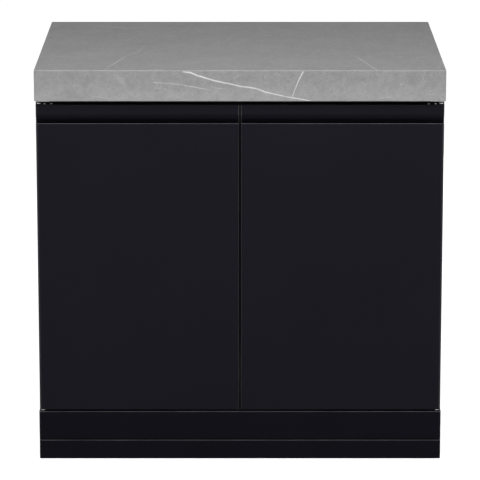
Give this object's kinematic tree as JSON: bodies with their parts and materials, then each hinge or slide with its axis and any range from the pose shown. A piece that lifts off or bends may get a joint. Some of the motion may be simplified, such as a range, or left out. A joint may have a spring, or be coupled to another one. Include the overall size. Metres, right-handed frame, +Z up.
{
  "type": "outdoor kitchen unit",
  "caption": "Outdoor kitchen base cabinet: thick mitred stone worktop over a black sheet-metal carcass with pivot-hung doors, finger-pull tops, fascia rail and plinth on levelling feet.",
  "frame": {"origin": "on the ground under the middle of the worktop", "axes": "+X to the right seen from the front, +Y to the back (the doors face -Y), +Z up"},
  "size_m": [0.92, 0.7, 0.905],
  "materials": {
    "stone": "matt sintered stone, mid grey with pale veins",
    "batten_board": "sealed weatherproof plywood",
    "rubber": "matt",
    "carcass_coat": "fine-textured black powder coat",
    "base_coat": "satin black powder coat",
    "door_coat": "satin black powder coat",
    "liner_coat": "fine-textured black powder coat",
    "bare_aluminium": "clear anodised",
    "black_plastic": "fine grain",
    "pivot_plastic": "black acetal",
    "zinc_steel": "bright zinc plate",
    "stainless": "bright stainless",
    "magnet": "nickel plate"
  },
  "bodies": {
    "cabinet": {"back_panel": "carcass_coat", "back_panel_screws": "stainless", "bottom_pivot_bracket_left": "stainless", "bottom_pivot_bracket_right": "stainless", "carcass_screws": "stainless", "catch_body": "black_plastic", "catch_magnets": "magnet", "corner_plates": "zinc_steel", "door_bumpers": "rubber", "fascia_end_caps": "black_plastic", "fascia_rail": "base_coat", "floor_panel": "carcass_coat", "plinth_front": "base_coat", "plinth_left": "base_coat", "plinth_rear": "base_coat", "plinth_right": "base_coat", "service_grommet": "rubber", "shelf": "carcass_coat", "shelf_pilasters": "bare_aluminium", "shelf_pins": "zinc_steel", "side_panel_left": "carcass_coat", "side_panel_right": "carcass_coat", "top_pivot_bracket_left": "stainless", "top_pivot_bracket_right": "stainless", "top_rail_front": "carcass_coat", "top_rail_rear": "carcass_coat", "worktop_apron_front": "stone", "worktop_apron_left": "stone", "worktop_apron_rear": "stone", "worktop_apron_right": "stone", "worktop_battens": "batten_board", "worktop_pads": "rubber", "worktop_screws": "stainless", "worktop_slab": "stone"},
    "left_door": {"door_skin_left": "door_coat", "door_liner_left": "liner_coat", "finger_pull_left": "door_coat", "pull_end_caps_left": "black_plastic", "top_pivot_block_left": "pivot_plastic", "bottom_pivot_block_left": "pivot_plastic", "pivot_washers_left": "stainless", "pivot_screws_left": "stainless", "strike_plate_left": "stainless"},
    "right_door": {"door_skin_right": "door_coat", "door_liner_right": "liner_coat", "finger_pull_right": "door_coat", "pull_end_caps_right": "black_plastic", "top_pivot_block_right": "pivot_plastic", "bottom_pivot_block_right": "pivot_plastic", "pivot_washers_right": "stainless", "pivot_screws_right": "stainless", "strike_plate_right": "stainless"},
    "front_left_foot": {"front_left_foot_pad": "black_plastic", "front_left_foot_stud": "zinc_steel"},
    "front_right_foot": {"front_right_foot_pad": "black_plastic", "front_right_foot_stud": "zinc_steel"},
    "rear_left_foot": {"rear_left_foot_pad": "black_plastic", "rear_left_foot_stud": "zinc_steel"},
    "rear_right_foot": {"rear_right_foot_pad": "black_plastic", "rear_right_foot_stud": "zinc_steel"}
  },
  "joints": [
    {"name": "left_door_swing", "type": "hinge", "parent": "cabinet", "child": "left_door", "pos_m": [-0.45, -0.327, 0.471], "axis": [0, 0, -1], "range_deg": [0, 110]},
    {"name": "right_door_swing", "type": "hinge", "parent": "cabinet", "child": "right_door", "pos_m": [0.45, -0.327, 0.471], "axis": [0, 0, 1], "range_deg": [0, 110]},
    {"name": "front_left_foot_level", "type": "slide", "parent": "cabinet", "child": "front_left_foot", "axis": [0, 0, 1], "range_m": [-0.025, 0]},
    {"name": "front_right_foot_level", "type": "slide", "parent": "cabinet", "child": "front_right_foot", "axis": [0, 0, 1], "range_m": [-0.025, 0]},
    {"name": "rear_left_foot_level", "type": "slide", "parent": "cabinet", "child": "rear_left_foot", "axis": [0, 0, 1], "range_m": [-0.025, 0]},
    {"name": "rear_right_foot_level", "type": "slide", "parent": "cabinet", "child": "rear_right_foot", "axis": [0, 0, 1], "range_m": [-0.025, 0]}
  ]
}
